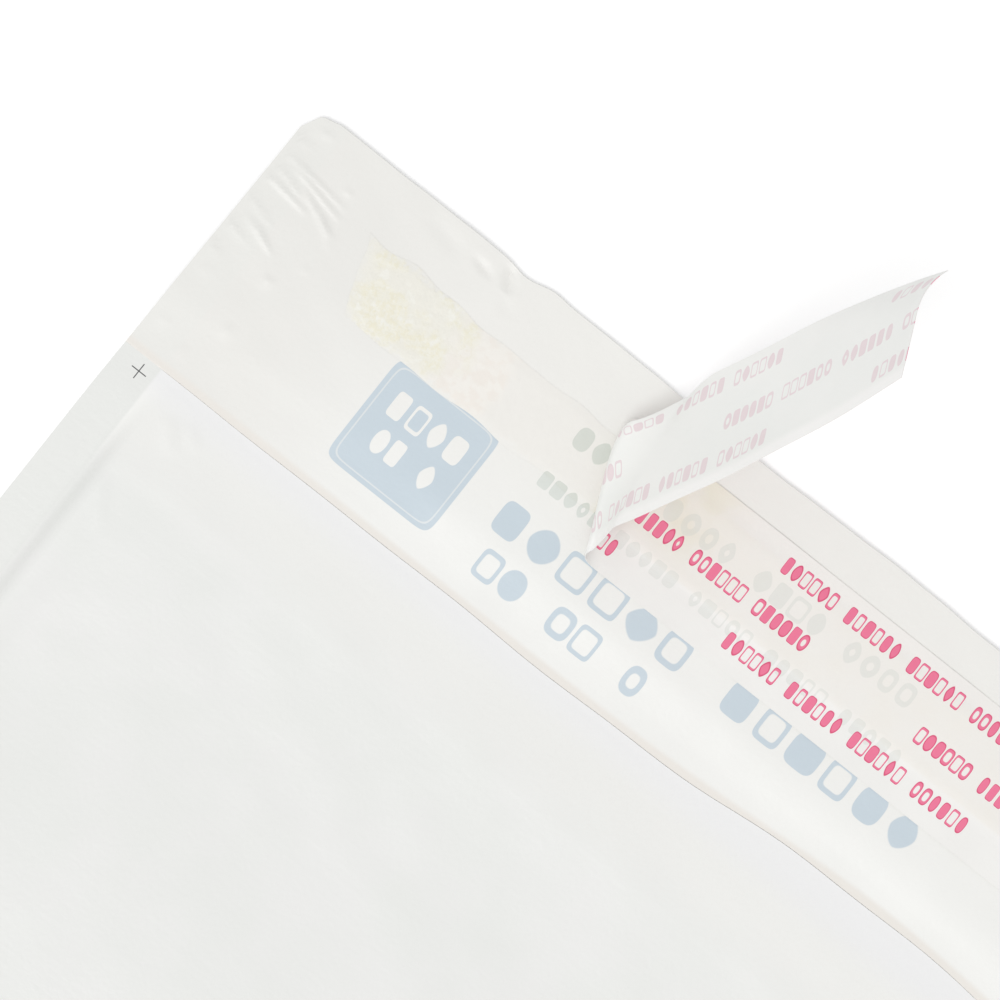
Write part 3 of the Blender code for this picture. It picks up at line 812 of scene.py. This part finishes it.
def print_row_group():
    """Row of plain marks, |u|^p + |v|^p < 1 in each cell: discs, diamonds, bars and rings.

    The power p, the width and the hole come from each cell's own random numbers, and the cell
    after each word of so many marks is left bare.
    """
    inputs = [
        ("Along", 0.0), ("Across", 0.0), ("Length", 50.0), ("Repeat", 1000.0),
        ("Half Height", 1.0), ("Pitch", 2.0), ("Seed", 0.0), ("Word", 7.0),
    ]
    tree, w, given, out = new_group("print_row", inputs, ["Mask", "Depth"])
    local = w.math("WRAP", given["Along"], given["Repeat"], 0.0)
    cells = w.math("DIVIDE", local, given["Pitch"])
    number = w.math("ADD", w.math("FLOOR", cells), given["Seed"])
    draw = w.node("ShaderNodeTexWhiteNoise", {"W": number}, noise_dimensions="1D")
    random = w.node("ShaderNodeSeparateColor", {0: draw.outputs["Color"]})
    power = w.ramp(random.outputs[0], 0.0, 1.0, 1.5, 6.0)
    width = w.math("MULTIPLY_ADD", random.outputs[1], 0.22, 0.68)
    u = w.math("SUBTRACT", w.math("MULTIPLY", w.math("FRACT", cells), 2.0), 1.0)
    u = w.math("ABSOLUTE", w.math("DIVIDE", u, width))
    v = w.math("ABSOLUTE", w.math("DIVIDE", given["Across"], given["Half Height"]))
    depth = w.math("ADD", w.math("POWER", u, power), w.math("POWER", v, power))
    filled = w.ramp(depth, 0.90, 1.10, 1.0, 0.0)
    hollow = w.math("GREATER_THAN", random.outputs[2], 0.6)
    hole = w.math("MULTIPLY", hollow, w.ramp(depth, 0.12, 0.22, 1.0, 0.0))
    in_row = w.math("LESS_THAN", local, given["Length"])
    kept = w.math("GREATER_THAN", w.math("MODULO", w.math("ADD", number, 1.0), given["Word"]), 0.5)
    mask = w.math("MULTIPLY", filled, w.math("SUBTRACT", 1.0, hole))
    mask = w.math("MULTIPLY", mask, w.math("MULTIPLY", in_row, kept))
    w.feed(out["Mask"], mask)
    w.feed(out["Depth"], depth)
    return tree


def flap_print_group(print_row):
    """Rows of plain marks and a plain plaque on the flap: bold and fine masks."""
    tree, w, _, out = new_group("flap_print", [], ["Bold", "Fine"])
    _, x, y = w.millimetres()
    masks = []
    for start, length, below, half_height, pitch, word in BLUE_ROWS + PLAQUE_ROWS:
        row = w.group(
            print_row,
            along=w.math("SUBTRACT", x, start),
            across=w.math("SUBTRACT", y, FREE_Y / MM - below),
            length=length,
            half_height=half_height,
            pitch=pitch,
            seed=WHOLE_WORDS * len(masks),
            word=word,
        )
        masks.append(row.outputs["Mask"])
    centre_x, centre_y, half_width, half_height = PLAQUE
    u = w.math("ABSOLUTE", w.math("DIVIDE", w.math("SUBTRACT", x, centre_x), half_width))
    v = w.math("ABSOLUTE", w.math("DIVIDE", w.math("SUBTRACT", y, centre_y), half_height))
    square = w.math("ADD", w.math("POWER", u, 12.0), w.math("POWER", v, 12.0))
    plaque = w.ramp(square, 0.92, 1.08, 1.0, 0.0)
    inset = w.math("MULTIPLY", w.ramp(square, 0.26, 0.29), w.ramp(square, 0.36, 0.39, 1.0, 0.0))
    bare = w.math("MAXIMUM", w.math("MULTIPLY", inset, 0.5), w.math("MAXIMUM", masks[4], masks[5]))
    plaque = w.math("MULTIPLY", plaque, w.math("SUBTRACT", 1.0, bare))
    w.feed(out["Bold"], w.math("MAXIMUM", plaque, w.math("MAXIMUM", masks[0], masks[1])))
    w.feed(out["Fine"], w.math("MAXIMUM", masks[2], masks[3]))
    return tree


def liner_print_group(print_row):
    """Half-drop rows of plain marks along the liner, read from the strip's own flat places."""
    tree, w, _, out = new_group("liner_print", [], ["Mask", "Depth", "Stuck"])
    flat = w.node("ShaderNodeUVMap", uv_map="strip").outputs["UV"]
    parts = w.node("ShaderNodeSeparateXYZ", {0: flat})
    length = 2 * LINER_END_X / MM
    x = w.math("MULTIPLY", w.math("SUBTRACT", parts.outputs["X"], 0.5), length)
    y = w.math("MULTIPLY", w.math("SUBTRACT", parts.outputs["Y"], 0.5), LINER_WIDTH / MM)
    mask = 0.0
    depth = 9.0
    for seed, (start, below) in enumerate(RED_ROWS):
        middle = (FREE_Y - LINER_MIDDLE_Y) / MM - below
        row = w.group(
            print_row,
            along=w.math("SUBTRACT", x, start),
            across=w.math("SUBTRACT", y, middle),
            length=RED_LENGTH,
            repeat=RED_REPEAT,
            half_height=RED_HALF_HEIGHT,
            pitch=RED_PITCH,
            seed=WHOLE_WORDS * (seed % 2),
        )
        mask = w.math("MAXIMUM", row.outputs["Mask"], mask)
        depth = w.math("MINIMUM", row.outputs["Depth"], depth)
    past = w.math("MULTIPLY_ADD", y, math.tan(PEEL_SKEW), w.math("SUBTRACT", x, PEEL_X / MM))
    w.feed(out["Mask"], mask)
    w.feed(out["Depth"], depth)
    w.feed(out["Stuck"], w.ramp(past, 0.0, 2.0))
    return tree


def film_surface_group():
    """Skin of blown film: broad mottling, streaks along the web and a fine orange peel."""
    inputs = [("Peel", 0.4), ("Streaks", 0.3), ("Swell", 0.6)]
    tree, w, given, out = new_group("film_surface", inputs, ["Mottle", "Height", "Gloss"])
    place, x, y = w.millimetres()
    mottle = w.noise(place, 0.055, 3.0, 0.45)
    peel = w.noise(place, 0.9, 2.0, 0.55)
    stretched = w.node("ShaderNodeCombineXYZ", {"X": w.math("MULTIPLY", x, 0.05), "Y": y})
    streaks = w.noise(stretched.outputs[0], 0.55, 3.0, 0.6)
    height = w.math("MULTIPLY", mottle, given["Swell"])
    height = w.math("MULTIPLY_ADD", peel, given["Peel"], height)
    height = w.math("MULTIPLY_ADD", streaks, given["Streaks"], height)
    w.feed(out["Mottle"], w.ramp(mottle, 0.30, 0.70))
    w.feed(out["Height"], height)
    w.feed(out["Gloss"], w.ramp(w.noise(place, 0.16, 2.0), 0.3, 0.7, -0.05, 0.05))
    return tree


def new_material(name):
    """Material with its wiring and its Principled shader."""
    material = bpy.data.materials.new(name)
    material.use_nodes = True
    w = Wiring(material.node_tree)
    return material, w, material.node_tree.nodes["Principled BSDF"].inputs


def film_skin(w, shader, film_surface, light, shade, roughness, bump):
    """Colour of plain film, with its mottled gloss and relief set on the shader."""
    skin = w.group(film_surface)
    w.feed(shader["Roughness"], w.math("ADD", skin.outputs["Gloss"], roughness))
    relief = w.node("ShaderNodeBump", {"Height": skin.outputs["Height"], "Distance": bump})
    w.feed(shader["Normal"], relief.outputs["Normal"])
    return w.mix(skin.outputs["Mottle"], light, shade)


def seal_share(w, x):
    """Share of the side seal at a place: 0 inside the bag, 1 on the weld."""
    return w.ramp(w.math("ABSOLUTE", x), SEAL_X / MM - 0.4, SEAL_X / MM + 0.4)


def film_inside_material(film_surface, flap_print):
    """Inner side of the film: matt white, the other side's print showing through faintly, with
    painted light and shade in its tone by place and a painted shade line along the mouth.
    """
    material, w, shader = new_material("film_inside")
    _, x, y = w.millimetres()
    skin = film_skin(
        w, shader, film_surface, colour(241, 241, 238), colour(239, 239, 236), 0.42, 0.10 * MM
    )
    # Painted light and shade: the flap's one white film is lighter beside the mouth and darker
    # towards its free edge and over its left part.
    skin = w.mix(w.ramp(y, 156.0, 186.0), skin, colour(237, 236, 232))
    skin = w.mix(w.ramp(x, -98.0, -58.0, 1.0, 0.0), skin, colour(234, 233, 229))
    skin = w.mix(w.math("MULTIPLY", seal_share(w, x), 0.6), skin, colour(233, 233, 229))
    # Painted shade: a soft warm dark line just past the front panel's cut edge, along its bowed
    # mouth, where the lip's shadow falls on the flap; the narrow groove in the geometry adds a little
    # real shade.
    bow = w.math("DIVIDE", w.math("SUBTRACT", x, MOUTH_BOW_X / MM), MOUTH_BOW_REACH / MM)
    bow = w.math("EXPONENT", w.math("MULTIPLY", w.math("MULTIPLY", bow, bow), -1.0))
    ahead = w.math("SUBTRACT", y, w.math("MULTIPLY_ADD", bow, MOUTH_BOW / MM, MOUTH_Y / MM))
    skin = w.mix(w.ramp(ahead, 0.9, 2.3, 1.0, 0.0), skin, colour(234, 230, 224))
    ink = w.group(flap_print)
    skin = w.mix(w.math("MULTIPLY", ink.outputs["Fine"], 0.75), skin, colour(209, 215, 209))
    skin = w.mix(w.math("MULTIPLY", ink.outputs["Bold"], 0.95), skin, colour(197, 210, 219))
    w.feed(shader["Base Color"], skin)
    return material


def film_outside_material(film_surface):
    """Outer side of the film: a little glossier, with the thin cross that registers the print, and
    painted light where the front panel slopes down to its mouth.
    """
    material, w, shader = new_material("film_outside")
    place, x, y = w.millimetres()
    height = w.node("ShaderNodeSeparateXYZ", {0: place}).outputs["Z"]
    front = w.ramp(height, 0.05, 0.20)
    skin = film_skin(
        w, shader, film_surface, colour(236, 236, 234), colour(234, 235, 232), 0.36, 0.12 * MM
    )
    # Painted light: the front panel is painted lighter where it slopes down to the mouth, away from
    # the lamp, and a little less light over the last millimetres to the cut edge.
    lip = w.math("MULTIPLY", w.ramp(y, 119.0, 134.0), front)
    skin = w.mix(lip, skin, colour(243, 243, 240))
    skin = w.mix(w.math("MULTIPLY", w.ramp(y, 136.0, 144.0), front), skin, colour(240, 240, 240))
    skin = w.mix(seal_share(w, x), skin, colour(232, 233, 230))
    centre_x, centre_y, arm, half_line = CROSS
    u = w.math("ABSOLUTE", w.math("SUBTRACT", x, centre_x))
    v = w.math("ABSOLUTE", w.math("SUBTRACT", y, centre_y))
    near = w.ramp(w.math("MAXIMUM", u, v), arm - 0.05, arm + 0.05, 1.0, 0.0)
    line = w.ramp(w.math("MINIMUM", u, v), half_line * 0.6, half_line * 1.4, 1.0, 0.0)
    cross = w.math("MULTIPLY", w.math("MULTIPLY", near, line), front)
    w.feed(shader["Base Color"], w.mix(cross, skin, colour(70, 70, 72)))
    return material


def film_printed_material(film_surface, flap_print):
    """Outer side of the flap, which carries the print itself."""
    material, w, shader = new_material("film_printed")
    skin = film_skin(
        w, shader, film_surface, colour(240, 240, 238), colour(237, 238, 235), 0.34, 0.12 * MM
    )
    ink = w.group(flap_print)
    skin = w.mix(w.math("MULTIPLY", ink.outputs["Fine"], 0.9), skin, colour(96, 120, 140))
    skin = w.mix(ink.outputs["Bold"], skin, colour(88, 130, 166))
    w.feed(shader["Base Color"], skin)
    return material


def bubble_film_material(film_surface):
    """Soft white polythene of the bubble lining."""
    material, w, shader = new_material("bubble_film")
    skin = film_skin(
        w, shader, film_surface, colour(236, 239, 240), colour(229, 233, 235), 0.30, 0.08 * MM
    )
    w.feed(shader["Base Color"], skin)
    return material


def adhesive_material(flap_print):
    """Tacky glue: yellow and grainy where it was bared first, then smooth beige patches, and a brown
    band by the peel front that is partly painted shade of the liner's roll.
    """
    material, w, shader = new_material("adhesive")
    place, x, y = w.millimetres()
    broad = w.noise(place, 0.12, 2.0)
    ragged = w.math("MULTIPLY", w.math("SUBTRACT", w.noise(place, 0.5, 3.0, 0.6), 0.5), 6.0)
    below = w.math("ADD", w.math("SUBTRACT", FREE_Y / MM, y), ragged)
    from_end = w.math("ADD", w.math("MULTIPLY_ADD", below, -ADHESIVE_LEAN, x), ragged)
    cover = w.math("MULTIPLY", w.ramp(below, 12.6, 15.2), w.ramp(below, 28.2, 30.6, 1.0, 0.0))
    cover = w.math("MULTIPLY", cover, w.ramp(from_end, -98.5, -93.5))
    # Film's tone beside the glue's ragged edges, with the same painted shade at the left as the
    # flap's inner side.
    plain = w.mix(w.ramp(x, -80.0, -60.0), colour(234, 233, 229), colour(237, 236, 232))
    grain = w.noise(place, 1.1, 4.0, 0.65)
    clots = w.noise(place, 0.45, 2.0, 0.5)
    x = w.math("MULTIPLY_ADD", w.math("SUBTRACT", broad, 0.5), 20.0, x)
    skin = w.mix(w.ramp(grain, 0.40, 0.64), colour(238, 236, 224), colour(236, 232, 213))
    skin = w.mix(w.ramp(broad, 0.46, 0.60), skin, colour(237, 235, 226))
    skin = w.mix(w.ramp(clots, 0.56, 0.70), skin, colour(240, 239, 231))
    beige = w.mix(w.ramp(clots, 0.40, 0.60), colour(240, 237, 231), colour(238, 233, 226))
    skin = w.mix(w.ramp(x, -66.0, -60.0), skin, beige)
    skin = w.mix(w.ramp(x, -54.0, -50.0), skin, colour(237, 235, 230))
    # Partly painted shade: the glue turns a darker brown under the liner's roll at the peel front,
    # partly its own tone there, then lighter again under the stuck liner.
    skin = w.mix(w.ramp(x, -24.0, -18.0), skin, colour(224, 217, 196))
    skin = w.mix(w.ramp(x, -8.0, 10.0), skin, colour(236, 232, 220))
    skin = w.mix(cover, plain, skin)
    ink = w.group(flap_print)
    ghost = w.math("MULTIPLY", ink.outputs["Fine"], 0.8)
    w.feed(shader["Base Color"], w.mix(ghost, skin, colour(206, 211, 203)))
    w.feed(shader["Roughness"], w.ramp(grain, 0.3, 0.7, 0.45, 0.65))
    height = w.math("MULTIPLY", grain, w.math("MULTIPLY", w.ramp(x, -66.0, -54.0, 1.0, 0.2), cover))
    relief = w.node("ShaderNodeBump", {"Height": height, "Distance": 0.14 * MM})
    w.feed(shader["Normal"], relief.outputs["Normal"])
    return material


def liner_face_material(film_surface, liner_print, flap_print):
    """Printed side of the liner: red marks, and where it is stuck the glue's tone below them, with a
    brown wedge by the peel front that is partly painted shade of the roll.
    """
    material, w, shader = new_material("liner_face")
    skin = film_skin(
        w, shader, film_surface, colour(241, 240, 237), colour(238, 237, 234), 0.36, 0.08 * MM
    )
    ink = w.group(liner_print)
    place, x, y = w.millimetres()
    below = w.math("SUBTRACT", FREE_Y / MM, y)
    glue = w.math("MULTIPLY", w.ramp(below, 13.0, 14.2), w.ramp(below, 29.4, 30.6, 1.0, 0.0))
    glue = w.math("MULTIPLY", glue, ink.outputs["Stuck"])
    patchy = w.ramp(w.noise(place, 0.09, 3.0, 0.6), 0.35, 0.65, 0.5, 1.0)
    skin = w.mix(w.ramp(below, 12.0, 34.0, 0.8, 0.0), skin, colour(238, 235, 231))
    skin = w.mix(w.math("MULTIPLY", glue, patchy), skin, colour(238, 235, 229))
    # Partly painted shade: a brown wedge on the stuck liner just past the peel front, where the roll
    # shades it, and partly the glue's tone below.
    peel_shade_and_glue = w.math("MULTIPLY", ink.outputs["Stuck"], w.ramp(x, -7.0, 7.0, 1.0, 0.0))
    peel_shade_and_glue = w.math("MULTIPLY", peel_shade_and_glue, w.ramp(below, 20.0, 30.0, 1.0, 0.0))
    peel_shade_and_glue = w.math("MULTIPLY", peel_shade_and_glue, w.ramp(w.noise(place, 0.16, 2.0), 0.40, 0.60, 0.45, 1.0))
    skin = w.mix(peel_shade_and_glue, skin, colour(234, 230, 216))
    marks = w.group(flap_print)
    ghost = w.math("MULTIPLY", marks.outputs["Fine"], ink.outputs["Stuck"])
    skin = w.mix(w.math("MULTIPLY", ghost, 0.35), skin, colour(206, 211, 205))
    red = w.mix(w.ramp(ink.outputs["Depth"], 0.45, 0.95), colour(236, 118, 152), colour(212, 58, 108))
    w.feed(shader["Base Color"], w.mix(ink.outputs["Mask"], skin, red))
    return material


def liner_back_material(film_surface, liner_print):
    """Siliconed underside of the liner: plain, with the marks showing through as pale pink."""
    material, w, shader = new_material("liner_back")
    skin = film_skin(
        w, shader, film_surface, colour(247, 247, 244), colour(244, 245, 242), 0.40, 0.08 * MM
    )
    ink = w.group(liner_print)
    flat = w.node("ShaderNodeUVMap", uv_map="strip").outputs["UV"]
    across = w.node("ShaderNodeSeparateXYZ", {0: flat}).outputs["Y"]
    skin = w.mix(w.ramp(across, 0.05, 0.13, 1.0, 0.0), skin, colour(253, 252, 250))
    ghost = w.math("MULTIPLY", ink.outputs["Mask"], 0.75)
    w.feed(shader["Base Color"], w.mix(ghost, skin, colour(233, 212, 217)))
    return material


def build_mailer():
    """The four pieces of the mailer in their own finishes."""
    film_surface = film_surface_group()
    print_row = print_row_group()
    flap_print = flap_print_group(print_row)
    liner_print = liner_print_group(print_row)
    film = [
        film_outside_material(film_surface),
        film_inside_material(film_surface, flap_print),
        film_printed_material(film_surface, flap_print),
    ]
    liner = [
        liner_face_material(film_surface, liner_print, flap_print),
        liner_back_material(film_surface, liner_print),
    ]
    build_piece("mailer_film", film_grids(), film, "outer_film")
    lining = [bubble_film_material(film_surface)]
    build_piece("bubble_sheet", lining_grids(), lining, "bubble_lining")
    glue = [adhesive_material(flap_print)]
    build_piece("adhesive_band", adhesive_grids(), glue, "adhesive_strip")
    build_piece("liner_strip", liner_grids(), liner, "release_liner")


def seen_directly(w):
    """1 for rays from the camera, from gloss and through clear parts, and 0 for the light."""
    path = w.node("ShaderNodeLightPath").outputs
    seen = w.math("MAXIMUM", path["Is Camera Ray"], path["Is Glossy Ray"])
    return w.math("MAXIMUM", seen, path["Is Transmission Ray"])


def build_floor():
    """Wide white floor that keeps the mailer's shadow and looks white beside it."""
    half = 4.0
    corners = [(-half, -half), (half, -half), (half, half), (-half, half)]
    data = bpy.data.meshes.new("studio_floor")
    data.from_pydata([(x, y, -0.15 * MM) for x, y in corners], [], [(0, 1, 2, 3)])
    material, w, shader = new_material("floor_paper")
    w.feed(shader["Base Color"], colour(226, 226, 226))
    shader["Roughness"].default_value = 0.9
    shader["Specular IOR Level"].default_value = 0.0
    shader["Emission Color"].default_value = (1.0, 1.0, 1.0, 1.0)
    w.feed(shader["Emission Strength"], w.math("MULTIPLY", seen_directly(w), 0.33))
    data.materials.append(material)
    floor = bpy.data.objects.new("studio_floor", data)
    bpy.context.scene.collection.objects.link(floor)


def build_light():
    """Even white surroundings and one broad soft lamp from beyond the bottom fold."""
    world = bpy.data.worlds.new("studio")
    world.use_nodes = True
    w = Wiring(world.node_tree)
    background = world.node_tree.nodes["Background"]
    strength = w.math("MULTIPLY_ADD", seen_directly(w), 0.26, 0.74)
    w.feed(background.inputs["Strength"], strength)
    background.inputs["Color"].default_value = (1.0, 1.0, 1.0, 1.0)
    bpy.context.scene.world = world

    lamp = bpy.data.lights.new("soft_lamp", "SUN")
    lamp.energy = 0.95
    lamp.angle = math.radians(30.0)
    holder = bpy.data.objects.new("soft_lamp", lamp)
    holder.rotation_euler = (math.radians(30.0), 0.0, math.radians(-8.0))
    bpy.context.scene.collection.objects.link(holder)


def build_camera():
    """Camera straight above the flap, turned as the mailer lies in the picture."""
    data = bpy.data.cameras.new("camera")
    data.sensor_width = 36.0
    data.lens = 89.1
    data.clip_start = 0.01
    camera = bpy.data.objects.new("camera", data)
    camera.location = (-38.2 * MM, 166.8 * MM, 500.0 * MM)
    camera.rotation_euler = (0.0, 0.0, math.radians(38.41))
    bpy.context.scene.collection.objects.link(camera)
    bpy.context.scene.camera = camera


build_mailer()
build_floor()
build_light()
build_camera()
bpy.context.scene.view_settings.view_transform = "Standard"
